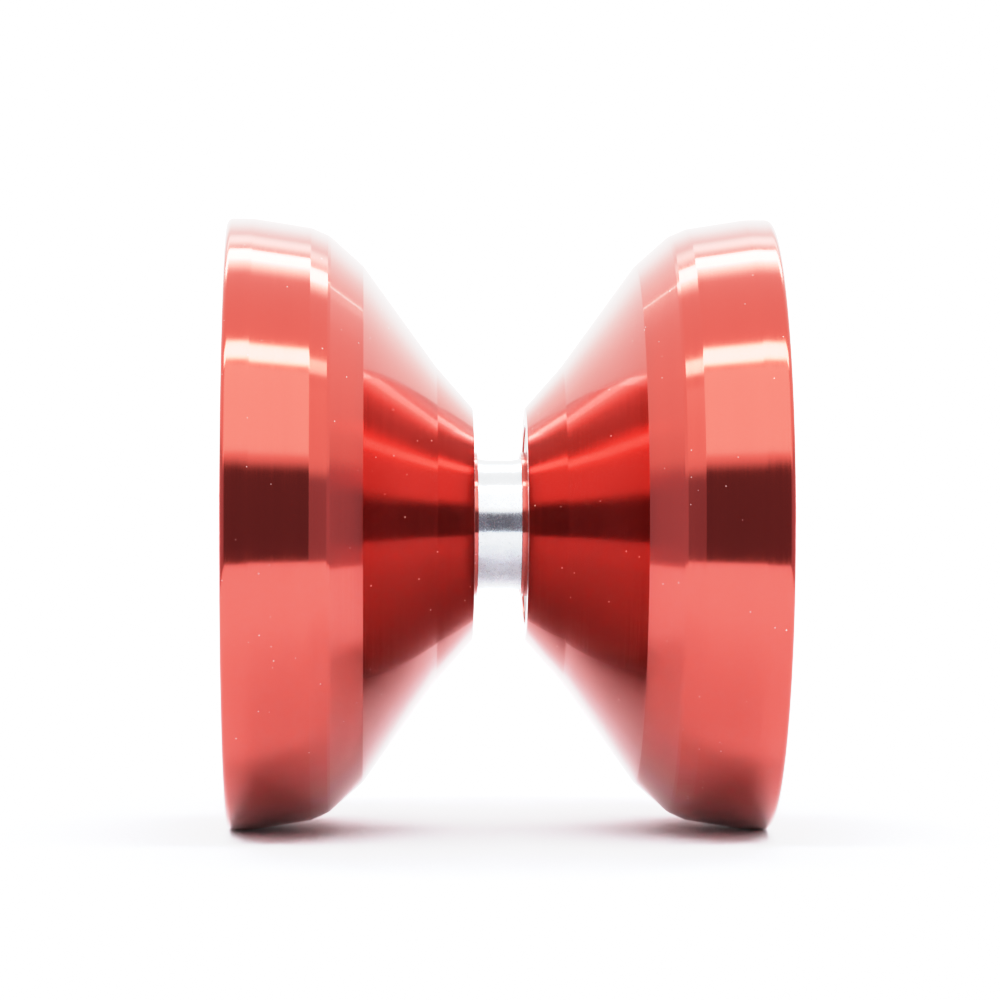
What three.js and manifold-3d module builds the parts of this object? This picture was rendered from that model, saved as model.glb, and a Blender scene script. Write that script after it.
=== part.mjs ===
// A wide V-shaped yo-yo of turned aluminium: two identical halves screwed together on a short
// set screw, which clamps the inner race of a small ball bearing between them. The string's
// loop sits on the bearing's outer race.
//
// Millimetres. The axle lies along +X, +Z is up, and the origin is the middle of the axle.

import * as THREE from 'three';
import { mergeVertices } from 'three/addons/utils/BufferGeometryUtils.js';
import Module from 'manifold-3d';

const wasm = await Module();
wasm.setup();

// ---------------------------------------------------------------- driving dimensions

// Facets in a full turn. Turned pieces are drawn around their true circle, flat side down.
const HALF_SIDES = 48;
const BEARING_SIDES = 32;
const POCKET_SIDES = 16;
const BALL_SIDES = 12;
const BALL_RINGS = 8;

// Outside of one half, as [distance from the string plane, radius].
const HUB_EDGE = [2.52, 11.17];
const HUB_SHOULDER = [6.06, 15.21];
const CONE_TOP = [13.04, 24.85];
const RIM_SHOULDER = [16.28, 27.72];
const RIM_BEVEL = [17.97, 28.46];
const RIM_LAND = [23.44, 29.33];
const RIM_FACE = 26.03;
const RIM_RADIUS = 29.36;
const RIM_CORNER = 0.55;
const HUB_EDGE_ROUND = 0.3;

// Cup in the outer side of one half.
const RIM_FACE_INNER = 27.0;
const CUP_LIP = 0.5;
const CUP_RADIUS = 26.5;
const CUP_STEP = [17.5, 26.5];
const CUP_CONE_TOP = [14.25, 23.7];
const CUP_FLOOR = 9.6;
const CUP_FLOOR_RADIUS = 17.3;
const BOSS_RADIUS = 5.2;
const BOSS_FACE = 12.2;
const DIMPLE_RADIUS = 3.4;
const DIMPLE_DEPTH = 0.8;

// Bearing seat and response groove, in the face that looks at the string plane.
const POST_RADIUS = 3.1;
const POST_END = 0.25;
const SEAT_SHOULDER = 2.4;
const SEAT_SHOULDER_RADIUS = 4.2;
const SEAT_FLOOR = 2.75;
const SEAT_RADIUS = 6.6;
const SEAT_RING_RADIUS = 6.95;
const SEAT_RING_FACE = 2.06;
const GROOVE_RADIUS = 9.6;
const GROOVE_FLOOR = 3.6;

// Response pad, a flat silicone ring.
const PAD_INNER = 7.03;
const PAD_OUTER = 9.52;
const PAD_FACE = 2.7;
const PAD_EDGE = 0.12;

// Axle, a set screw with a hexagon socket in one end.
const AXLE_RADIUS = 2.0;
const AXLE_LENGTH = 20.0;
const AXLE_CHAMFER = 0.4;
const AXLE_HOLE_RADIUS = 2.05;
const AXLE_HOLE_END = 10.5;
const SOCKET_ACROSS_FLATS = 2.0;
const SOCKET_DEPTH = 2.0;

// Ball bearing: 1/2 in outside, 1/4 in bore, 3/16 in wide, eight 1/16 in balls.
const BEARING_RADIUS = 6.35;
const BEARING_BORE_RADIUS = 3.175;
const BEARING_HALF_WIDTH = 2.381;
const BALL_COUNT = 8;
const BALL_RADIUS = 0.794;
const PITCH_RADIUS = 4.7625;
const RACEWAY_RADIUS = 0.85;
const RACEWAY_STEPS = 6;
const LAND_OFFSET = 0.4625;
const TRACK_HALF_WIDTH = 1.2;
const TRACK_DEPTH = 0.13;
const RACE_CHAMFER = 0.2;

// Shield and its snap ring, one of each on both sides of the bearing.
const SHIELD_SEAT = 1.53;
const SHIELD_BORE_RADIUS = 5.45;
const SHIELD_INNER = 4.42;
const SHIELD_OUTER = 5.4;
const SHIELD_THICKNESS = 0.2;
const CLIP_GROOVE = [1.78, 2.04];
const CLIP_GROOVE_RADIUS = 5.7;
const CLIP_INNER = 5.12;
const CLIP_OUTER = 5.62;
const CLIP_THICKNESS = 0.18;
const CLIP_GAP_DEG = 26;
const CLIP_STEPS = 28;

// Crown cage that spaces the balls.
const CAGE_INNER = 4.46;
const CAGE_OUTER = 5.07;
const CAGE_BACK = 1.15;
const CAGE_PRONGS = -0.5;
const POCKET_RADIUS = 0.855;

// ---------------------------------------------------------------- materials

const metal = (color, roughness) =>
  new THREE.MeshStandardMaterial({ color, roughness, metalness: 1.0 });

const redAnodised = metal(0xc02a28, 0.22);
const polishedSteel = metal(0xdfe3e6, 0.18);
const shieldSteel = metal(0xb9bec4, 0.34);
const axleSteel = metal(0x8d9196, 0.38);
const cageSteel = metal(0xa9a48f, 0.4);
const siliconeRubber = new THREE.MeshStandardMaterial({ color: 0xf0efec, roughness: 0.75, metalness: 0.0 });

// ---------------------------------------------------------------- shape helpers

// Turns an outline about the axle. The outline's points are [along the axle, radius], in the
// order that keeps the material on their left when the axle points up and radius goes right.
function turned(outline, sides) {
  const toCorner = 1 / Math.cos(Math.PI / sides);
  const points = outline.map(([along, radius]) => new THREE.Vector2(radius * toCorner, along));
  if (points[0].x > 0) points.push(points[0].clone());
  const geometry = new THREE.LatheGeometry(points, sides, Math.PI / sides, 2 * Math.PI);
  return geometry.rotateZ(-Math.PI / 2);
}

// Points along an arc, from one angle to another in degrees, counted from the radial direction
// towards +X.
function arc([along, radius], size, fromDeg, toDeg, steps) {
  const points = [];
  for (let i = 0; i <= steps; i++) {
    const angle = THREE.MathUtils.degToRad(fromDeg + ((toDeg - fromDeg) * i) / steps);
    points.push([along + size * Math.sin(angle), radius + size * Math.cos(angle)]);
  }
  return points;
}

function solidOf(geometry) {
  const bare = geometry.clone();
  bare.deleteAttribute('normal');
  bare.deleteAttribute('uv');
  const merged = mergeVertices(bare, 1e-4);
  return new wasm.Manifold(new wasm.Mesh({
    numProp: 3,
    vertProperties: new Float32Array(merged.attributes.position.array),
    triVerts: new Uint32Array(merged.index.array),
  }));
}

function geometryOf(solid) {
  const mesh = solid.getMesh();
  const geometry = new THREE.BufferGeometry();
  geometry.setAttribute('position', new THREE.BufferAttribute(mesh.vertProperties, 3));
  geometry.setIndex(new THREE.BufferAttribute(mesh.triVerts, 1));
  return geometry;
}

function named(name, geometry, material) {
  const mesh = new THREE.Mesh(geometry, material);
  mesh.name = name;
  return mesh;
}

// ---------------------------------------------------------------- the halves

// The right-hand half. The left-hand one is the same turning, faced the other way.
function halfGeometry() {
  const axleHole = [
    [AXLE_HOLE_END, 0],
    [AXLE_HOLE_END, AXLE_HOLE_RADIUS],
    [POST_END, AXLE_HOLE_RADIUS],
  ];
  const bearingSeat = [
    [POST_END, POST_RADIUS],
    [SEAT_SHOULDER, POST_RADIUS],
    [SEAT_SHOULDER, SEAT_SHOULDER_RADIUS],
    [SEAT_FLOOR, SEAT_SHOULDER_RADIUS],
    [SEAT_FLOOR, SEAT_RADIUS],
    [SEAT_RING_FACE, SEAT_RADIUS],
    [SEAT_RING_FACE, SEAT_RING_RADIUS],
  ];
  const padGroove = [
    [GROOVE_FLOOR, SEAT_RING_RADIUS],
    [GROOVE_FLOOR, GROOVE_RADIUS],
    [HUB_EDGE[0], GROOVE_RADIUS],
  ];
  const outside = [
    [HUB_EDGE[0], HUB_EDGE[1] - HUB_EDGE_ROUND],
    [HUB_EDGE[0] + HUB_EDGE_ROUND * 0.7, HUB_EDGE[1] + HUB_EDGE_ROUND * 0.5],
    HUB_SHOULDER,
    CONE_TOP,
    RIM_SHOULDER,
    RIM_BEVEL,
    RIM_LAND,
    ...arc([RIM_FACE - RIM_CORNER, RIM_RADIUS - RIM_CORNER], RIM_CORNER, 0, 90, 2),
  ];
  const cup = [
    [RIM_FACE, RIM_FACE_INNER],
    [RIM_FACE - CUP_LIP, CUP_RADIUS],
    CUP_STEP,
    CUP_CONE_TOP,
    [CUP_FLOOR, CUP_FLOOR_RADIUS],
    [CUP_FLOOR, BOSS_RADIUS],
    [BOSS_FACE, BOSS_RADIUS],
    [BOSS_FACE, DIMPLE_RADIUS],
    [BOSS_FACE - DIMPLE_DEPTH, 0],
  ];
  return turned([...axleHole, ...bearingSeat, ...padGroove, ...outside, ...cup], HALF_SIDES);
}

function padGeometry() {
  return turned([
    [PAD_FACE + PAD_EDGE, PAD_INNER],
    [PAD_FACE, PAD_INNER + PAD_EDGE],
    [PAD_FACE, PAD_OUTER - PAD_EDGE],
    [PAD_FACE + PAD_EDGE, PAD_OUTER],
    [GROOVE_FLOOR - 0.03, PAD_OUTER],
    [GROOVE_FLOOR - 0.03, PAD_INNER],
  ], HALF_SIDES);
}

function axleGeometry() {
  const end = AXLE_LENGTH / 2;
  const rod = turned([
    [-end, 0],
    [-end, AXLE_RADIUS - AXLE_CHAMFER],
    [AXLE_CHAMFER - end, AXLE_RADIUS],
    [end - AXLE_CHAMFER, AXLE_RADIUS],
    [end, AXLE_RADIUS - AXLE_CHAMFER],
    [end, 0],
  ], BEARING_SIDES);
  const socketRadius = SOCKET_ACROSS_FLATS / 2 / Math.cos(Math.PI / 6);
  const socket = new THREE.CylinderGeometry(socketRadius, socketRadius, 2 * SOCKET_DEPTH, 6);
  socket.rotateZ(Math.PI / 2).translate(end, 0, 0);
  return geometryOf(solidOf(rod).subtract(solidOf(socket)));
}

// ---------------------------------------------------------------- the bearing

const RACEWAY_HALF_ANGLE = THREE.MathUtils.radToDeg(Math.acos(LAND_OFFSET / RACEWAY_RADIUS));

function innerRaceGeometry() {
  const land = PITCH_RADIUS - LAND_OFFSET;
  const raceway = arc([0, PITCH_RADIUS], RACEWAY_RADIUS,
    180 + RACEWAY_HALF_ANGLE, 180 - RACEWAY_HALF_ANGLE, RACEWAY_STEPS);
  return turned([
    [-BEARING_HALF_WIDTH, BEARING_BORE_RADIUS],
    [-BEARING_HALF_WIDTH, land - RACE_CHAMFER],
    [RACE_CHAMFER - BEARING_HALF_WIDTH, land],
    ...raceway,
    [BEARING_HALF_WIDTH - RACE_CHAMFER, land],
    [BEARING_HALF_WIDTH, land - RACE_CHAMFER],
    [BEARING_HALF_WIDTH, BEARING_BORE_RADIUS],
  ], BEARING_SIDES);
}

// The outer race's outside dips in the middle, so that the string centres itself. Its bore is
// stepped at both ends for the shields and grooved for their snap rings.
function outerRaceGeometry() {
  const land = PITCH_RADIUS + LAND_OFFSET;
  const raceway = arc([0, PITCH_RADIUS], RACEWAY_RADIUS,
    RACEWAY_HALF_ANGLE, -RACEWAY_HALF_ANGLE, RACEWAY_STEPS);
  const shieldStep = [
    [BEARING_HALF_WIDTH, SHIELD_BORE_RADIUS],
    [CLIP_GROOVE[1], SHIELD_BORE_RADIUS],
    [CLIP_GROOVE[1], CLIP_GROOVE_RADIUS],
    [CLIP_GROOVE[0], CLIP_GROOVE_RADIUS],
    [CLIP_GROOVE[0], SHIELD_BORE_RADIUS],
    [SHIELD_SEAT, SHIELD_BORE_RADIUS],
    [SHIELD_SEAT, land],
  ];
  const otherEnd = ([along, radius]) => [-along, radius];
  return turned([
    [-BEARING_HALF_WIDTH, BEARING_RADIUS - RACE_CHAMFER],
    [RACE_CHAMFER - BEARING_HALF_WIDTH, BEARING_RADIUS],
    [-TRACK_HALF_WIDTH, BEARING_RADIUS - TRACK_DEPTH],
    [TRACK_HALF_WIDTH, BEARING_RADIUS - TRACK_DEPTH],
    [BEARING_HALF_WIDTH - RACE_CHAMFER, BEARING_RADIUS],
    [BEARING_HALF_WIDTH, BEARING_RADIUS - RACE_CHAMFER],
    ...shieldStep,
    ...raceway,
    ...shieldStep.map(otherEnd).reverse(),
  ], BEARING_SIDES);
}

function shieldGeometry() {
  const face = SHIELD_SEAT + 0.02;
  return turned([
    [face, SHIELD_INNER],
    [face, SHIELD_OUTER],
    [face + SHIELD_THICKNESS, SHIELD_OUTER],
    [face + SHIELD_THICKNESS, SHIELD_INNER],
  ], BEARING_SIDES);
}

// A flat C-shaped snap ring, with its gap at the top.
function clipGeometry() {
  const gap = THREE.MathUtils.degToRad(CLIP_GAP_DEG / 2);
  const outline = new THREE.Shape();
  outline.absarc(0, 0, CLIP_OUTER, gap, 2 * Math.PI - gap, false);
  outline.absarc(0, 0, CLIP_INNER, 2 * Math.PI - gap, gap, true);
  const ring = new THREE.ExtrudeGeometry(outline, {
    depth: CLIP_THICKNESS, bevelEnabled: false, curveSegments: CLIP_STEPS,
  });
  const middle = (CLIP_GROOVE[0] + CLIP_GROOVE[1]) / 2;
  return ring.rotateY(-Math.PI / 2).translate(middle + CLIP_THICKNESS / 2, 0, 0);
}

const ballAngle = (i) => (2 * Math.PI * (i + 0.5)) / BALL_COUNT;

// A ring with a round pocket for each ball, open towards one side as in a snap-in crown cage.
function cageGeometry() {
  let cage = solidOf(turned([
    [CAGE_PRONGS, CAGE_INNER],
    [CAGE_PRONGS, CAGE_OUTER],
    [CAGE_BACK, CAGE_OUTER],
    [CAGE_BACK, CAGE_INNER],
  ], BEARING_SIDES));
  const radius = POCKET_RADIUS / Math.cos(Math.PI / POCKET_SIDES);
  for (let i = 0; i < BALL_COUNT; i++) {
    const pocket = new THREE.CylinderGeometry(radius, radius, 2, POCKET_SIDES);
    pocket.rotateX(Math.PI / 2).translate(0, 0, PITCH_RADIUS).rotateX(ballAngle(i));
    cage = cage.subtract(solidOf(pocket));
  }
  return geometryOf(cage);
}

function ballGeometry() {
  return new THREE.SphereGeometry(BALL_RADIUS, BALL_SIDES, BALL_RINGS);
}

// ---------------------------------------------------------------- assembly

// What is alike on both sides of the string plane.
function sideOf(side) {
  const group = new THREE.Group();
  group.add(
    named(`${side}_half`, halfGeometry(), redAnodised),
    named(`response_pad_${side}`, padGeometry(), siliconeRubber),
    named(`bearing_shield_${side}`, shieldGeometry(), shieldSteel),
    named(`shield_clip_${side}`, clipGeometry(), shieldSteel),
  );
  return group;
}

function balls() {
  const group = new THREE.Group();
  for (let i = 0; i < BALL_COUNT; i++) {
    const ball = named(`ball_${i + 1}`, ballGeometry(), polishedSteel);
    const angle = ballAngle(i);
    ball.position.set(0, -PITCH_RADIUS * Math.sin(angle), PITCH_RADIUS * Math.cos(angle));
    group.add(ball);
  }
  return group;
}

const yoyo = new THREE.Group();
const leftSide = sideOf('left');
leftSide.rotation.z = Math.PI;
yoyo.add(
  leftSide,
  sideOf('right'),
  named('axle_screw', axleGeometry(), axleSteel),
  named('bearing_inner_race', innerRaceGeometry(), polishedSteel),
  named('bearing_outer_race', outerRaceGeometry(), polishedSteel),
  named('ball_cage', cageGeometry(), cageSteel),
  balls(),
);

export default yoyo;
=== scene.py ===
"""A wide V-shaped yo-yo of red anodised aluminium: two turned halves around a small ball bearing.

Metres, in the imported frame: the axle lies along +X, +Z is up, and the origin is its middle.
Outlines are written in millimetres, as [distance along the axle, radius], and scaled by MM.
"""

import math

import bmesh
import bpy
from mathutils import Matrix, Quaternion, Vector


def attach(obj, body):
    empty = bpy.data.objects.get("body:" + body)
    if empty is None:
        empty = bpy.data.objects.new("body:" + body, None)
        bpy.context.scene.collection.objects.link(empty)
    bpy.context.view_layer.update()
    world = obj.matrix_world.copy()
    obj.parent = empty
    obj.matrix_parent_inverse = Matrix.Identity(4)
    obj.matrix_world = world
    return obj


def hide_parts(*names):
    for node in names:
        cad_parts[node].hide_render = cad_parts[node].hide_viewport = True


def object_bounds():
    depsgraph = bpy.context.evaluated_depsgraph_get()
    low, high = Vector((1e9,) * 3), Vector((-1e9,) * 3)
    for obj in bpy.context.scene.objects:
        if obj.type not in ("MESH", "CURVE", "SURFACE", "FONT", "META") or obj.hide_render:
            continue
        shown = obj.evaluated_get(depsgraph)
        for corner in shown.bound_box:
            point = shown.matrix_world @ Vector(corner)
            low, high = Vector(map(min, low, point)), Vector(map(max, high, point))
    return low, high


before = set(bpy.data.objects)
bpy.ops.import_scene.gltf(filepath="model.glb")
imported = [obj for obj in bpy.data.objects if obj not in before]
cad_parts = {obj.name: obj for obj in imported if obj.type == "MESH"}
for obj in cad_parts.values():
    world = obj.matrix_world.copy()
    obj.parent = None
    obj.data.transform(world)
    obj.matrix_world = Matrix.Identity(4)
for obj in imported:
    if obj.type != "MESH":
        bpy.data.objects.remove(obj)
cad_low, cad_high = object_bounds()

MM = 0.001

# ---------------------------------------------------------------- camera, as in the photograph

CAMERA_DISTANCE = 0.434
CAMERA_AZIMUTH = -1.76
CAMERA_ELEVATION = 1.0
CAMERA_ROLL = 0.1
CAMERA_LENS = 162.0
AIM_RIGHT = 0.16 * MM
AIM_UP = 2.33 * MM

# ---------------------------------------------------------------- sizes, millimetres

# A corner of an outline is (along the axle, radius, size of its rounding).
RIM_FACE = cad_high.x / MM
RIM_RADIUS = cad_high.z / MM
HALF_OUTSIDE = [
    (2.52, 9.6, 0.08),
    (2.52, 11.17, 0.3),
    (6.06, 15.21, 0.5),
    (13.04, 24.85, 0.25),
    (16.10, 27.58, 0.12),
    (16.36, 27.76, 0.12),
    (17.97, 28.46, 0.2),
    (23.44, 29.33, 0.6),
    (24.2, RIM_RADIUS, 0.6),
    (RIM_FACE, RIM_RADIUS, 0.55),
]
HALF_CUP = [
    (RIM_FACE, 27.0, 0.12),
    (25.53, 26.5, 0.15),
    (17.5, 26.5, 0.8),
    (14.25, 23.7, 0.6),
    (9.6, 17.3, 1.4),
    (9.6, 5.2, 0.35),
    (12.2, 5.2, 0.3),
    (12.2, 3.4, 0.25),
    (11.4, 0.0, 0.0),
]
HALF_SEAT = [
    (10.5, 0.0, 0.0),
    (10.5, 2.05, 0.1),
    (0.25, 2.05, 0.12),
    (0.25, 3.1, 0.15),
    (2.4, 3.1, 0.04),
    (2.4, 4.2, 0.05),
    (2.75, 4.2, 0.05),
    (2.75, 6.6, 0.08),
    (2.06, 6.6, 0.1),
    (2.06, 6.95, 0.1),
    (3.6, 6.95, 0.08),
    (3.6, 9.6, 0.08),
]
PAD = [
    (2.7, 7.03, 0.14),
    (2.7, 9.52, 0.14),
    (3.57, 9.52, 0.1),
    (3.57, 7.03, 0.1),
]

BALL_COUNT = 8
BALL_RADIUS = 0.79375
PITCH_RADIUS = 4.7625
POCKET_RADIUS = 0.855
RACEWAY_RADIUS = 0.85
LAND_OFFSET = 0.4625
BORE_RADIUS = 3.175
OUTSIDE_RADIUS = 6.35
BEARING_HALF_WIDTH = 2.381

AXLE_RADIUS = 1.99
AXLE_ROOT = 1.64
AXLE_PITCH = 0.7
AXLE_HALF_LENGTH = 10.0
AXLE_CHAMFER = 0.35
AXLE_CENTRE_CONE = 0.5
SOCKET_APOTHEM = 1.0
SOCKET_DEPTH = 2.0
SOCKET_CONE = 0.3
THREAD_COLUMNS = 48
THREAD_ROWS_PER_TURN = 12

# Faces round the axle: the large pieces, and the small ones inside.
SEGMENTS = 256
SMALL_SEGMENTS = 192


# ---------------------------------------------------------------- mesh code

def rounded(corners, closed):
    """The outline's points, with each corner replaced by an arc and straight runs given extra
    points close to their ends, so that smooth shading stays inside the roundings."""
    count = len(corners)
    runs = []
    for i, (along, radius, size) in enumerate(corners):
        here = Vector((along, radius))
        if not closed and i in (0, count - 1) or size == 0.0:
            runs.append([here])
            continue
        before = Vector(corners[i - 1][:2]) - here
        after = Vector(corners[(i + 1) % count][:2]) - here
        half_angle = before.angle(after) / 2
        reach = min(size / math.tan(half_angle), 0.45 * before.length, 0.45 * after.length)
        size = reach * math.tan(half_angle)
        start, end = here + before.normalized() * reach, here + after.normalized() * reach
        centre = here + (before.normalized() + after.normalized()).normalized() * (
            size / math.sin(half_angle))
        steps = max(3, round(math.degrees(math.pi - 2 * half_angle) / 9))
        from_centre, turn = start - centre, (start - centre).angle_signed(end - centre)
        arc = []
        for k in range(steps + 1):
            angle = -turn * k / steps
            arc.append(centre + Matrix.Rotation(angle, 2) @ from_centre)
        runs.append(arc)
    points = []
    for i, run in enumerate(runs):
        points += run
        if not closed and i == count - 1:
            break
        start, end = run[-1], runs[(i + 1) % count][0]
        length = (end - start).length
        margin = min(0.03, length / 4)
        middle = max(1, math.ceil((length - 2 * margin) / 1.5))
        for k in range(middle + 1):
            share = (margin + (length - 2 * margin) * k / middle) / length
            points.append(start.lerp(end, share))
    return points


def mesh_object(name, bm):
    """A smooth object made from the bmesh, with merged points and its faces turned outwards."""
    bmesh.ops.remove_doubles(bm, verts=bm.verts, dist=1e-8)
    bmesh.ops.recalc_face_normals(bm, faces=bm.faces)
    for face in bm.faces:
        face.smooth = True
    mesh = bpy.data.meshes.new(name)
    bm.to_mesh(mesh)
    bm.free()
    obj = bpy.data.objects.new(name, mesh)
    bpy.context.scene.collection.objects.link(obj)
    return obj


def around(radius, angle):
    """(y, z) at this radius, the angle counted from the top."""
    return (-radius * math.sin(angle), radius * math.cos(angle))


def turned(name, corners, closed=True, segments=SEGMENTS, side=1, sweep=None):
    """An outline turned about the axle. side -1 faces it the other way. sweep, in radians, leaves
    a gap at the top instead of closing the ring."""
    outline = rounded(corners, closed)
    bm = bmesh.new()
    rings = []
    whole = sweep is None
    first = 0.0 if whole else (2 * math.pi - sweep) / 2
    span = 2 * math.pi if whole else sweep
    count = segments if whole else segments + 1
    for along, radius in outline:
        if radius < 1e-6:
            rings.append([bm.verts.new((side * along * MM, 0, 0))])
            continue
        ring = []
        for k in range(count):
            y, z = around(radius * MM, first + span * k / segments)
            ring.append(bm.verts.new((side * along * MM, y, z)))
        rings.append(ring)
    pairs = list(zip(rings, rings[1:]))
    if closed:
        pairs.append((rings[-1], rings[0]))
    for low, high in pairs:
        for k in range(segments):
            nxt = (k + 1) % count
            if len(low) == 1:
                bm.faces.new((low[0], high[k], high[nxt]))
            elif len(high) == 1:
                bm.faces.new((low[k], high[0], low[nxt]))
            else:
                bm.faces.new((low[k], high[k], high[nxt], low[nxt]))
    if not whole:
        bm.faces.new([ring[0] for ring in rings])
        bm.faces.new([ring[-1] for ring in reversed(rings)])
    return mesh_object(name, bm)


def arc_corners(centre, size, from_deg, to_deg, steps):
    """Corners along an arc, its angle counted from the radial direction towards +X."""
    along, radius = centre
    corners = []
    for k in range(steps + 1):
        angle = math.radians(from_deg + (to_deg - from_deg) * k / steps)
        corners.append((along + size * math.sin(angle), radius + size * math.cos(angle), 0.0))
    return corners


def finished(piece, body, node, material):
    """Gives a piece its material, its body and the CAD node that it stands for."""
    piece.data.materials.append(material)
    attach(piece, body)
    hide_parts(node)


# ---------------------------------------------------------------- material code

QUARTER_TURN = 0.25
TOOL_MARKS = 0.0000008
STAIN = 0.1
DYE_DEEP = (0.45, 0.050, 0.036, 1.0)
DYE_BRIGHT = (0.53, 0.062, 0.045, 1.0)
# Painted shade: a darker dye towards the hub, on the cones between the halves.
HUB_PAINTED_SHADE = (0.42, 0.052, 0.038, 1.0)
HUB_PAINTED_SHADE_FROM = 24 * MM
HUB_PAINTED_SHADE_TO = 26 * MM
# The pale colour of the dust specks and scratches, and also of the painted sheen towards the hub.
DUST_AND_SHEEN_COLOUR = (0.85, 0.62, 0.60, 1.0)
# Painted sheen: a pale, less metallic lift on the cones towards the hub.
PAINTED_SHEEN_AMOUNT = 0.05
PAINTED_SHEEN_FROM = 20 * MM
PAINTED_SHEEN_TO = 26 * MM


class Nodes:
    """Short names for building one node tree."""

    def __init__(self, tree):
        self.tree = tree
        tree.nodes.clear()

    def add(self, kind, **settings):
        node = self.tree.nodes.new(kind)
        for key, value in settings.items():
            setattr(node, key, value)
        return node

    def link(self, source, target):
        self.tree.links.new(source, target)

    def put(self, value, socket):
        if isinstance(value, bpy.types.NodeSocket):
            self.link(value, socket)
        else:
            socket.default_value = value

    def math(self, operation, a, b=0.0, c=0.0):
        node = self.add("ShaderNodeMath", operation=operation)
        for value, socket in zip((a, b, c), node.inputs):
            self.put(value, socket)
        return node.outputs[0]

    def ramp(self, value, low, high, to_low=0.0, to_high=1.0):
        node = self.add("ShaderNodeMapRange", interpolation_type="SMOOTHSTEP")
        for number, socket in zip((value, low, high, to_low, to_high), node.inputs):
            self.put(number, socket)
        return node.outputs[0]

    def mix(self, share, a, b):
        """Two colours mixed. The node's colour sockets come after those of its other types."""
        node = self.add("ShaderNodeMix", data_type="RGBA")
        self.put(share, node.inputs[0])
        self.put(a, node.inputs[6])
        self.put(b, node.inputs[7])
        return node.outputs[2]

    def noise(self, vector, scale, detail=2.0, roughness=0.5):
        node = self.add("ShaderNodeTexNoise")
        self.link(vector, node.inputs["Vector"])
        node.inputs["Scale"].default_value = scale
        node.inputs["Detail"].default_value = detail
        node.inputs["Roughness"].default_value = roughness
        return node.outputs["Fac"]

    def voronoi(self, vector, scale):
        node = self.add("ShaderNodeTexVoronoi")
        self.link(vector, node.inputs["Vector"])
        node.inputs["Scale"].default_value = scale
        return node.outputs["Distance"], node.outputs["Color"]

    def bump(self, height, distance):
        node = self.add("ShaderNodeBump")
        node.inputs["Strength"].default_value = 1.0
        node.inputs["Distance"].default_value = distance
        self.link(height, node.inputs["Height"])
        return node.outputs["Normal"]


def new_material(name):
    material = bpy.data.materials.new(name)
    material.use_nodes = True
    nodes = Nodes(material.node_tree)
    shader = nodes.add("ShaderNodeBsdfPrincipled")
    output = nodes.add("ShaderNodeOutputMaterial")
    nodes.link(shader.outputs[0], output.inputs["Surface"])
    place = nodes.add("ShaderNodeTexCoord").outputs["Object"]
    return material, nodes, shader, place


def groove_place(nodes, place):
    """(along the axle, radius): the same all the way round the axle, so that a pattern read from
    it runs in rings, as a lathe tool leaves it."""
    split = nodes.add("ShaderNodeSeparateXYZ")
    nodes.link(place, split.inputs[0])
    y, z = split.outputs[1], split.outputs[2]
    squared = nodes.math("ADD", nodes.math("MULTIPLY", y, y), nodes.math("MULTIPLY", z, z))
    join = nodes.add("ShaderNodeCombineXYZ")
    nodes.link(split.outputs[0], join.inputs[0])
    nodes.link(nodes.math("SQRT", squared), join.inputs[1])
    return join.outputs[0]


def turned_shine(nodes, shader, anisotropic):
    """Reflections drawn out along the axle, across the rings that the lathe leaves."""
    shader.inputs["Anisotropic"].default_value = anisotropic
    shader.inputs["Anisotropic Rotation"].default_value = QUARTER_TURN
    tangent = nodes.add("ShaderNodeTangent", direction_type="RADIAL", axis="X")
    nodes.link(tangent.outputs[0], shader.inputs["Tangent"])


def specks(nodes, place, scale, size, share):
    """1 on small round specks, one in each of the given share of cells of the given scale."""
    distance, colour = nodes.voronoi(place, scale)
    split = nodes.add("ShaderNodeSeparateColor")
    nodes.link(colour, split.inputs[0])
    near = nodes.ramp(distance, size, size * 0.45)
    chosen = nodes.math("GREATER_THAN", split.outputs[0], 1.0 - share)
    return nodes.math("MULTIPLY", near, chosen)


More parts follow.
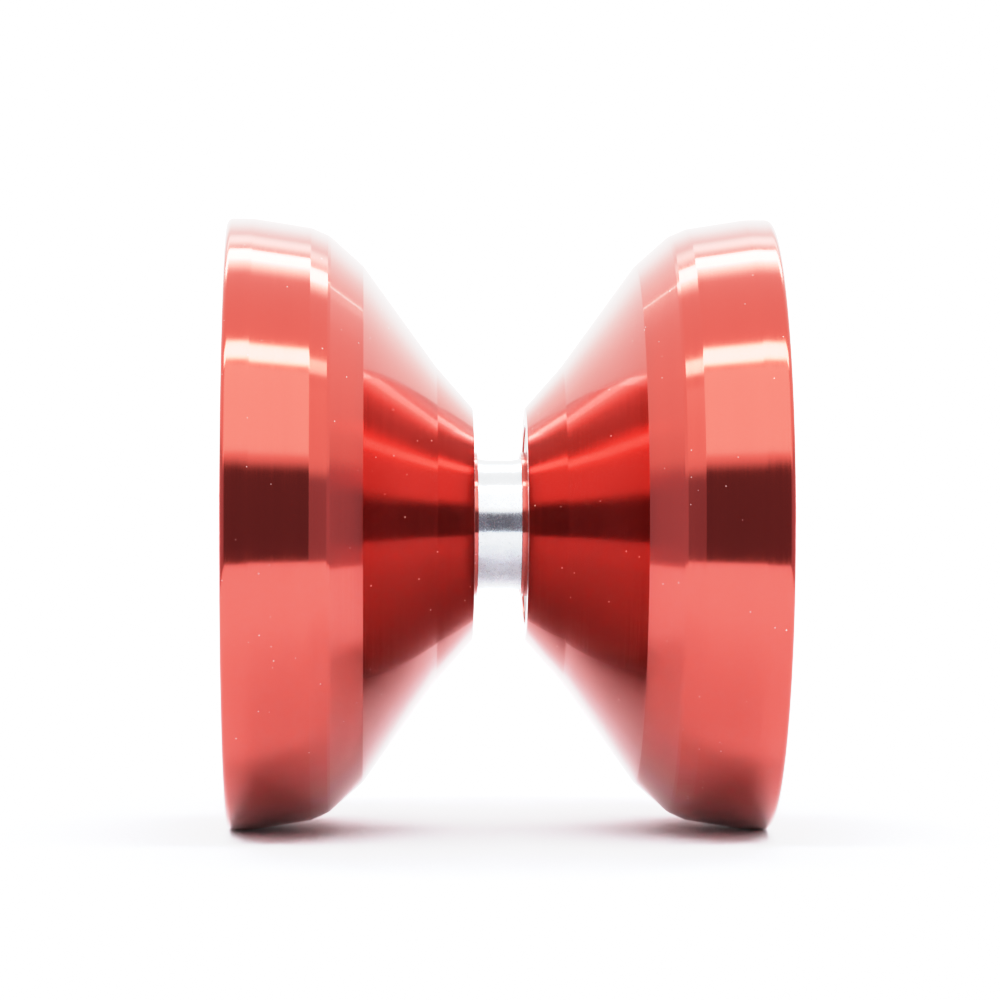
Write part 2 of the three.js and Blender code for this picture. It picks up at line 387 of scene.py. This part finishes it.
def anodised_red():
    """Dyed metal under a thin clear coat, with dust and scratches, a faint painted sheen near the
    hub, and painted shade: the dye darker towards the hub.
    """
    material, nodes, shader, place = new_material("anodised_red")
    rings = groove_place(nodes, place)
    marks = nodes.noise(rings, 5200.0, 3.0, 0.6)
    bands = nodes.noise(rings, 420.0, 2.0)
    cloud = nodes.noise(place, 90.0, 2.0)
    uneven = nodes.math("MULTIPLY_ADD", bands, 0.6, nodes.math("MULTIPLY", cloud, 0.4))
    dye = nodes.mix(uneven, DYE_DEEP, DYE_BRIGHT)
    split = nodes.add("ShaderNodeSeparateXYZ")
    nodes.link(rings, split.inputs[0])
    radius = split.outputs[1]
    # Painted shade: inside a radius of 24 to 26 mm the dye turns darker, where the cones face
    # each other.
    dye = nodes.mix(nodes.ramp(radius, HUB_PAINTED_SHADE_FROM, HUB_PAINTED_SHADE_TO, 1.0, 0.0), dye, HUB_PAINTED_SHADE)

    grains = nodes.math("MAXIMUM", specks(nodes, place, 330.0, 0.028, 0.16),
                        specks(nodes, place, 900.0, 0.075, 0.30))
    drawn_out = nodes.add("ShaderNodeMapping")
    drawn_out.inputs["Rotation"].default_value = (0.6, 0.9, 0.4)
    drawn_out.inputs["Scale"].default_value = (1.0, 0.12, 1.0)
    nodes.link(place, drawn_out.inputs["Vector"])
    scratches = specks(nodes, drawn_out.outputs[0], 620.0, 0.040, 0.50)
    # Painted sheen: a pale lift inside a radius of 20 to 26 mm, taken in with the dust, so it
    # lowers the metal and raises the roughness.
    painted_sheen = nodes.ramp(radius, PAINTED_SHEEN_FROM, PAINTED_SHEEN_TO, PAINTED_SHEEN_AMOUNT, 0.0)
    dust_and_sheen = nodes.math("MAXIMUM", nodes.math("MAXIMUM", grains, painted_sheen),
                      nodes.math("MULTIPLY", scratches, 0.5))

    nodes.link(nodes.mix(nodes.math("MULTIPLY", dust_and_sheen, 0.6), dye, DUST_AND_SHEEN_COLOUR),
               shader.inputs["Base Color"])
    nodes.link(nodes.math("MULTIPLY_ADD", dust_and_sheen, -0.5, 1.0), shader.inputs["Metallic"])
    finish = nodes.ramp(marks, 0.3, 0.7, 0.13, 0.19)
    nodes.link(nodes.math("MULTIPLY_ADD", dust_and_sheen, 0.3, finish), shader.inputs["Roughness"])
    shader.inputs["Coat Weight"].default_value = 0.6
    shader.inputs["Coat IOR"].default_value = 1.45
    shader.inputs["Coat Roughness"].default_value = 0.05
    turned_shine(nodes, shader, 0.9)
    nodes.link(nodes.bump(marks, TOOL_MARKS), shader.inputs["Normal"])
    return material


def steel(name, colour, roughness, marks_depth=TOOL_MARKS):
    """Plain metal with ring-shaped machining marks and a slight stain."""
    material, nodes, shader, place = new_material(name)
    rings = groove_place(nodes, place)
    marks = nodes.noise(rings, 4000.0, 3.0, 0.6)
    grain = nodes.noise(place, 5200.0, 2.0)
    cloud = nodes.noise(place, 400.0, 3.0)
    dark = tuple(c * (1.0 - STAIN) for c in colour[:3]) + (1.0,)
    nodes.link(nodes.mix(nodes.ramp(cloud, 0.3, 0.7), dark, colour), shader.inputs["Base Color"])
    nodes.link(nodes.ramp(grain, 0.3, 0.7, roughness * 0.8, roughness * 1.25),
               shader.inputs["Roughness"])
    shader.inputs["Metallic"].default_value = 1.0
    turned_shine(nodes, shader, 0.8)
    nodes.link(nodes.bump(marks, marks_depth), shader.inputs["Normal"])
    return material


def silicone():
    material, nodes, shader, place = new_material("silicone")
    grain = nodes.noise(place, 3800.0, 4.0, 0.65)
    cloud = nodes.noise(place, 300.0, 2.0)
    nodes.link(nodes.mix(cloud, (0.86, 0.85, 0.82, 1.0), (0.93, 0.925, 0.91, 1.0)),
               shader.inputs["Base Color"])
    nodes.link(nodes.ramp(grain, 0.3, 0.7, 0.5, 0.68), shader.inputs["Roughness"])
    shader.inputs["Subsurface Weight"].default_value = 0.15
    shader.inputs["Subsurface Radius"].default_value = (0.0008, 0.0007, 0.0006)
    nodes.link(nodes.bump(grain, 0.00001), shader.inputs["Normal"])
    return material


def paper():
    material, nodes, shader, place = new_material("paper")
    grain = nodes.noise(place, 1800.0, 4.0, 0.65)
    nodes.link(nodes.mix(grain, (0.74, 0.79, 0.85, 1.0), (0.82, 0.87, 0.93, 1.0)),
               shader.inputs["Base Color"])
    shader.inputs["Roughness"].default_value = 0.85
    nodes.link(nodes.bump(grain, 0.00008), shader.inputs["Normal"])
    return material


RED = anodised_red()
BALL_STEEL = steel("ball_steel", (0.86, 0.87, 0.88, 1.0), 0.08)
RACE_STEEL = steel("race_steel", (0.62, 0.66, 0.70, 1.0), 0.24, marks_depth=0.000002)
SHIELD_STEEL = steel("shield_steel", (0.70, 0.72, 0.74, 1.0), 0.28)
CAGE_STEEL = steel("cage_steel", (0.60, 0.58, 0.52, 1.0), 0.32)
AXLE_STEEL = steel("axle_steel", (0.50, 0.51, 0.53, 1.0), 0.3)
SILICONE = silicone()
PAPER = paper()


# ---------------------------------------------------------------- the halves

def half(side_name, side):
    outline = HALF_SEAT + HALF_OUTSIDE + HALF_CUP
    shell = turned(f"turned_half_{side_name}", outline, closed=False, side=side)
    finished(shell, "halves", f"{side_name}_half", RED)
    pad = turned(f"silicone_ring_{side_name}", PAD, side=side)
    finished(pad, "halves", f"response_pad_{side_name}", SILICONE)


def threaded_axle():
    """A set screw: a helical thread between two chamfers, with a hexagon socket in its +X end."""
    bm = bmesh.new()
    columns = THREAD_COLUMNS
    rows = round(2 * AXLE_HALF_LENGTH / AXLE_PITCH * THREAD_ROWS_PER_TURN)
    rings = []
    for i in range(rows + 1):
        along = AXLE_HALF_LENGTH * (2 * i / rows - 1)
        limit = AXLE_RADIUS - max(0.0, abs(along) - (AXLE_HALF_LENGTH - AXLE_CHAMFER)) * 1.1
        ring = []
        for k in range(columns):
            angle = 2 * math.pi * k / columns
            phase = (along / AXLE_PITCH - k / columns) % 1.0
            height = min(1.0, max(0.0, 2.6 * abs(phase - 0.5) - 0.15))
            radius = min(AXLE_ROOT + (AXLE_RADIUS - AXLE_ROOT) * height, limit)
            y, z = around(radius * MM, angle)
            ring.append(bm.verts.new((along * MM, y, z)))
        rings.append(ring)
    for depth in (0.0, SOCKET_DEPTH):
        ring = []
        for k in range(columns):
            angle = 2 * math.pi * k / columns
            from_flat = (angle + math.pi / 6) % (math.pi / 3) - math.pi / 6
            y, z = around(SOCKET_APOTHEM / math.cos(from_flat) * MM, angle)
            ring.append(bm.verts.new(((AXLE_HALF_LENGTH - depth) * MM, y, z)))
        rings.append(ring)
    for low, high in zip(rings, rings[1:]):
        for k in range(columns):
            nxt = (k + 1) % columns
            bm.faces.new((low[k], high[k], high[nxt], low[nxt]))
    ends = (
        (rings[0], (AXLE_CENTRE_CONE - AXLE_HALF_LENGTH) * MM),
        (rings[-1], (AXLE_HALF_LENGTH - SOCKET_DEPTH - SOCKET_CONE) * MM),
    )
    for ring, along in ends:
        point = bm.verts.new((along, 0, 0))
        for k in range(columns):
            bm.faces.new((ring[k], ring[(k + 1) % columns], point))
    axle = mesh_object("set_screw", bm)
    axle.data.set_sharp_from_angle(angle=math.radians(35))
    finished(axle, "halves", "axle_screw", AXLE_STEEL)


# ---------------------------------------------------------------- the bearing

def bearing_races():
    half_angle = math.degrees(math.acos(LAND_OFFSET / RACEWAY_RADIUS))
    end, inner, outer = BEARING_HALF_WIDTH, PITCH_RADIUS - LAND_OFFSET, PITCH_RADIUS + LAND_OFFSET
    centre = (0.0, PITCH_RADIUS)
    inner_race = turned("inner_race_ground", [
        (-end, BORE_RADIUS, 0.15),
        (-end, inner, 0.15),
        *arc_corners(centre, RACEWAY_RADIUS, 180 + half_angle, 180 - half_angle, 24),
        (end, inner, 0.15),
        (end, BORE_RADIUS, 0.15),
    ], segments=SMALL_SEGMENTS)
    finished(inner_race, "halves", "bearing_inner_race", RACE_STEEL)

    shield_step = [
        (end, 5.45, 0.08),
        (2.04, 5.45, 0.03),
        (2.04, 5.7, 0.03),
        (1.78, 5.7, 0.03),
        (1.78, 5.45, 0.03),
        (1.53, 5.45, 0.03),
        (1.53, outer, 0.03),
    ]
    other_end = [(-along, radius, size) for along, radius, size in reversed(shield_step)]
    outer_race = turned("outer_race_ground", [
        (-end, OUTSIDE_RADIUS, 0.12),
        (-2.2, 6.34, 0.1),
        (-1.25, 6.15, 0.06),
        (1.25, 6.15, 0.06),
        (2.2, 6.34, 0.1),
        (end, OUTSIDE_RADIUS, 0.12),
        *shield_step,
        *arc_corners(centre, RACEWAY_RADIUS, half_angle, -half_angle, 24),
        *other_end,
    ])
    finished(outer_race, "outer_race", "bearing_outer_race", RACE_STEEL)


def shield_and_clip(side_name, side):
    shield = turned(f"stamped_shield_{side_name}", [
        (1.55, 4.42, 0.04),
        (1.55, 5.40, 0.06),
        (1.75, 5.40, 0.06),
        (1.75, 4.95, 0.1),
        (1.68, 4.80, 0.1),
        (1.68, 4.42, 0.04),
    ], side=side, segments=SMALL_SEGMENTS)
    finished(shield, "outer_race", f"bearing_shield_{side_name}", SHIELD_STEEL)
    clip = turned(f"snap_ring_{side_name}", [
        (1.82, 5.12, 0.04),
        (1.82, 5.62, 0.04),
        (2.00, 5.62, 0.04),
        (2.00, 5.12, 0.04),
    ], side=side, segments=SMALL_SEGMENTS, sweep=math.radians(334))
    clip.data.set_sharp_from_angle(angle=math.radians(40))
    finished(clip, "outer_race", f"shield_clip_{side_name}", SHIELD_STEEL)


def ball_angle(i):
    return 2 * math.pi * (i + 0.5) / BALL_COUNT


def balls():
    for i in range(BALL_COUNT):
        y, z = around(PITCH_RADIUS * MM, ball_angle(i))
        bm = bmesh.new()
        bmesh.ops.create_uvsphere(bm, u_segments=48, v_segments=24, radius=BALL_RADIUS * MM,
                                  matrix=Matrix.Translation((0, y, z)))
        ball = mesh_object(f"steel_ball_{i + 1}", bm)
        finished(ball, f"ball_{i + 1}", f"ball_{i + 1}", BALL_STEEL)


def cage():
    """A ring with a round pocket for each ball, open towards -X."""
    ring = turned("crown_cage", [
        (-0.5, 4.46, 0.05),
        (-0.5, 5.07, 0.05),
        (1.15, 5.07, 0.05),
        (1.15, 4.46, 0.05),
    ], segments=SMALL_SEGMENTS)
    bm = bmesh.new()
    for i in range(BALL_COUNT):
        outwards = Matrix.Translation((0, 0, PITCH_RADIUS * MM))
        bmesh.ops.create_cone(bm, cap_ends=True, segments=64, depth=2 * MM,
                              radius1=POCKET_RADIUS * MM, radius2=POCKET_RADIUS * MM,
                              matrix=Matrix.Rotation(ball_angle(i), 4, "X") @ outwards)
    pockets = mesh_object("pockets", bm)
    cut = ring.modifiers.new("pockets", "BOOLEAN")
    cut.operation, cut.solver, cut.object = "DIFFERENCE", "EXACT", pockets
    bpy.context.view_layer.update()
    evaluated = ring.evaluated_get(bpy.context.evaluated_depsgraph_get())
    drilled = bpy.data.meshes.new_from_object(evaluated)
    ring.modifiers.clear()
    ring.data = drilled
    bpy.data.objects.remove(pockets)
    ring.data.materials.clear()
    ring.data.set_sharp_from_angle(angle=math.radians(35))
    finished(ring, "cage", "ball_cage", CAGE_STEEL)


for side_name, side in (("left", -1), ("right", 1)):
    half(side_name, side)
    shield_and_clip(side_name, side)
threaded_axle()
bearing_races()
cage()
balls()


# ---------------------------------------------------------------- stage, light and camera

STAGE_SIZE = 3.0

# The camera opening: a dark band round the front, its top lower towards its ends, in metres.
SLOT_DISTANCE = 0.138
SLOT_TOP = 0.0906
SLOT_TOP_ASIDE = 0.0784
SLOT_SOFT = 0.0156
SLOT_STEPS = 48
SLOT_SHADE = 0.21
SLOT_SHADE_ASIDE = 0.75
SLOT_COLOUR = (0.97, 0.95, 1.12, 1.0)

# The tent as reflections see it. Angles are in degrees about the axle, from 0 level in front over
# 90 straight up to 180 level behind.
WORLD_SEEN = 3.0
WORLD_BACK = 2.0
WORLD_CEILING = 1.8
WORLD_PANEL = 1.8
WORLD_STRIP = 14.0
WORLD_GLOW = 5.0
WORLD_EDGE = 6.0
WORLD_SIDES = 1.3
PANEL_ANGLES = (27.5, 62.5)
FRONT_STRIP_ANGLES = (64.8, 72.3)
REAR_STRIP_ANGLES = (118.0, 125.5)
REAR_GLOW_START = 107.0
BACK_STARTS = (125.0, 128.0)
BACK_BRIGHT_ANGLES = (130.0, 138.0)
STRIP_BOW = 20.0
STRIP_BOW_START = 0.25
EDGE_BAND = (0.42, 0.77)

# The shares of that light which fall on rough surfaces, from above, behind and the sides.
WORLD_FILL_ABOVE = 0.35
WORLD_FILL_BEHIND = 1.0
WORLD_FILL_SIDES = 0.7
WORLD_LAMP_BEHIND = 1.4
WORLD_LAMP_FRONT = 2.9

# The picture's tone curve, as (light, shade on the picture).
FILM_WHITE = 2.35
FILM_CURVE = [
    (0.01, 0.0076),
    (0.03, 0.0255),
    (0.06, 0.055),
    (0.1, 0.096),
    (0.2, 0.2),
    (0.4, 0.41),
    (0.6, 0.61),
    (0.8, 0.765),
    (1.0, 0.85),
    (1.3, 0.90),
    (1.7, 0.94),
    (2.1, 0.992),
]


def grey(level):
    return (level, level, level, 1.0)


def floor():
    """A plain pale floor that the rims stand on."""
    bm = bmesh.new()
    bmesh.ops.create_grid(bm, x_segments=8, y_segments=8, size=STAGE_SIZE,
                          matrix=Matrix.Translation((0, 0, cad_low.z)))
    obj = mesh_object("floor", bm)
    obj.data.materials.append(PAPER)


def dark_slot():
    """The tent's dark camera opening, a band round the front that only reflections see."""
    material = bpy.data.materials.new("dark_slot")
    material.use_nodes = True
    nodes = Nodes(material.node_tree)
    place = nodes.add("ShaderNodeTexCoord").outputs["Object"]
    split = nodes.add("ShaderNodeSeparateXYZ")
    nodes.link(place, split.inputs[0])
    aside = nodes.math("DIVIDE", nodes.math("ABSOLUTE", split.outputs[0]), SLOT_DISTANCE)
    shade = nodes.ramp(aside, 0.35, 0.65, SLOT_SHADE, SLOT_SHADE_ASIDE)
    top = nodes.ramp(aside, 0.35, 0.65, cad_low.z + SLOT_TOP, cad_low.z + SLOT_TOP_ASIDE)
    above = nodes.ramp(split.outputs[2], nodes.math("SUBTRACT", top, SLOT_SOFT), top)
    emission = nodes.add("ShaderNodeEmission")
    clear = nodes.add("ShaderNodeBsdfTransparent")
    mixed = nodes.add("ShaderNodeMixShader")
    output = nodes.add("ShaderNodeOutputMaterial")
    nodes.link(shade, emission.inputs["Strength"])
    emission.inputs["Color"].default_value = SLOT_COLOUR
    nodes.link(above, mixed.inputs[0])
    nodes.link(emission.outputs[0], mixed.inputs[1])
    nodes.link(clear.outputs[0], mixed.inputs[2])
    nodes.link(mixed.outputs[0], output.inputs["Surface"])
    bm = bmesh.new()
    low, high = [], []
    for k in range(SLOT_STEPS + 1):
        angle = math.pi * k / SLOT_STEPS
        x, y = SLOT_DISTANCE * math.cos(angle), -SLOT_DISTANCE * math.sin(angle)
        low.append(bm.verts.new((x, y, cad_low.z)))
        high.append(bm.verts.new((x, y, cad_low.z + SLOT_TOP)))
    for k in range(SLOT_STEPS):
        bm.faces.new((low[k], low[k + 1], high[k + 1], high[k]))
    obj = mesh_object("dark_slot", bm)
    obj.data.materials.append(material)
    obj.visible_camera = False
    obj.visible_diffuse = False
    obj.visible_shadow = False
    obj.visible_transmission = False


def light_tent():
    """The world: a white tent with two light strips on its ceiling, behind and in front."""
    world = bpy.data.worlds.new("light_tent")
    bpy.context.scene.world = world
    world.use_nodes = True
    nodes = Nodes(world.node_tree)
    split = nodes.add("ShaderNodeSeparateXYZ")
    nodes.link(nodes.add("ShaderNodeTexCoord").outputs["Generated"], split.inputs[0])
    x, y, z = split.outputs
    angle = nodes.math("MULTIPLY", nodes.math("ARCTAN2", z, nodes.math("MULTIPLY", y, -1.0)),
                       180.0 / math.pi)
    across = nodes.math("SQRT", nodes.math("ADD", nodes.math("MULTIPLY", y, y),
                                           nodes.math("MULTIPLY", z, z)))
    to_side = nodes.math("ABSOLUTE", x)
    aside = nodes.math("DIVIDE", to_side, nodes.math("MAXIMUM", across, 0.001))

    def band(value, low, high, soft):
        return nodes.math("MULTIPLY", nodes.ramp(value, low - soft, low + soft),
                          nodes.ramp(value, high - soft, high + soft, 1.0, 0.0))

    bright = nodes.math("MULTIPLY", band(angle, *BACK_BRIGHT_ANGLES, 4.0),
                        nodes.ramp(aside, 0.42, 0.58, WORLD_BACK, 0.0))
    back = nodes.math("ADD", nodes.ramp(angle, *BACK_STARTS, WORLD_CEILING, WORLD_BACK), bright)
    below = nodes.ramp(angle, -1.0, 0.0, WORLD_BACK - WORLD_CEILING, 0.0)
    base = nodes.math("ADD", back, below)
    panel = nodes.math("MULTIPLY", band(angle, *PANEL_ANGLES, 1.5),
                       nodes.ramp(aside, 0.5, 0.9, WORLD_PANEL, 0.0))

    # Both strips end to the left and right, and bend up a little towards their ends.
    beyond = nodes.math("MAXIMUM", nodes.math("SUBTRACT", aside, STRIP_BOW_START), 0.0)
    bow = nodes.math("MULTIPLY", nodes.math("MULTIPLY", beyond, beyond), STRIP_BOW)
    bent = nodes.math("SUBTRACT", angle, bow)
    rear_start = REAR_STRIP_ANGLES[0]
    glow = nodes.math("MULTIPLY",
                      nodes.ramp(bent, REAR_GLOW_START, rear_start, 0.0, WORLD_GLOW),
                      nodes.ramp(bent, rear_start, rear_start + 2.0, 1.0, 0.0))
    rear = nodes.math("ADD", glow, nodes.math(
        "MULTIPLY", band(bent, *REAR_STRIP_ANGLES, 1.2), WORLD_STRIP))
    rear = nodes.math("MULTIPLY", rear, nodes.ramp(aside, 0.5, 0.65, 1.0, 0.0))
    front = nodes.math("MULTIPLY", band(bent, *FRONT_STRIP_ANGLES, 1.6),
                       nodes.ramp(aside, 0.5, 0.95, WORLD_STRIP, 0.0))
    # A thin bright edge slants up from the end of the rear strip and then runs on.
    slant = nodes.math("SUBTRACT", angle, nodes.math(
        "MINIMUM", nodes.math("MULTIPLY_ADD", aside, 91.0, 78.0),
        nodes.math("MULTIPLY_ADD", aside, -47.0, 173.0)))
    edge = nodes.math("MULTIPLY", band(aside, *EDGE_BAND, 0.02),
                      nodes.ramp(nodes.math("ABSOLUTE", slant), 0.3, 1.0, WORLD_EDGE, 0.0))
    rear = nodes.math("ADD", rear, edge)

    lit_wall = nodes.math("ADD", base, panel)
    total = nodes.math("ADD", lit_wall, nodes.math("ADD", rear, front))
    total = nodes.mix(nodes.ramp(to_side, 0.9, 0.985), total, grey(WORLD_SIDES))

    share = nodes.math("MAXIMUM", nodes.ramp(z, 0.2, 0.8, 0.0, WORLD_FILL_ABOVE),
                       nodes.ramp(y, 0.0, 0.5, 0.0, WORLD_FILL_BEHIND))
    share = nodes.math("MAXIMUM", share, nodes.ramp(to_side, 0.5, 0.9, 0.0, WORLD_FILL_SIDES))
    lamps = nodes.math("MULTIPLY_ADD", rear, WORLD_LAMP_BEHIND,
                       nodes.math("MULTIPLY", front, WORLD_LAMP_FRONT))
    overhead = nodes.math("MULTIPLY_ADD", lit_wall, share, lamps)
    path = nodes.add("ShaderNodeLightPath")
    lit = nodes.mix(path.outputs["Is Diffuse Ray"], total, overhead)
    seen = nodes.mix(path.outputs["Is Camera Ray"], lit, grey(WORLD_SEEN))
    background = nodes.add("ShaderNodeBackground")
    output = nodes.add("ShaderNodeOutputWorld")
    nodes.link(seen, background.inputs["Color"])
    nodes.link(background.outputs[0], output.inputs["Surface"])


def camera():
    """The photograph's viewpoint: a little to the left of square on, and 1 degree above."""
    azimuth, elevation = math.radians(CAMERA_AZIMUTH), math.radians(CAMERA_ELEVATION)
    back = Vector((math.sin(azimuth) * math.cos(elevation),
                   -math.cos(azimuth) * math.cos(elevation), math.sin(elevation)))
    facing = (-back).to_track_quat("-Z", "Y")
    right, up = facing @ Vector((1, 0, 0)), facing @ Vector((0, 1, 0))
    place = back * CAMERA_DISTANCE
    aim = (right * AIM_RIGHT + up * AIM_UP - place).normalized()
    data = bpy.data.cameras.new("camera")
    data.lens, data.sensor_width = CAMERA_LENS, 36.0
    data.clip_start, data.clip_end = 0.01, 20.0
    obj = bpy.data.objects.new("camera", data)
    obj.rotation_mode = "QUATERNION"
    roll = Quaternion((0, 0, 1), math.radians(CAMERA_ROLL))
    obj.location, obj.rotation_quaternion = place, aim.to_track_quat("-Z", "Y") @ roll
    bpy.context.scene.collection.objects.link(obj)
    bpy.context.scene.camera = obj


def film():
    """The picture's tone curve: straight in the middle, a soft shoulder up to white."""
    view = bpy.context.scene.view_settings
    view.view_transform = "Standard"
    view.use_curve_mapping = True
    mapping = view.curve_mapping
    mapping.white_level = (FILM_WHITE, FILM_WHITE, FILM_WHITE)
    mapping.extend = "HORIZONTAL"
    for light, shade in FILM_CURVE:
        mapping.curves[3].points.new(light / FILM_WHITE, shade)
    mapping.update()


floor()
dark_slot()
light_tent()
camera()
film()
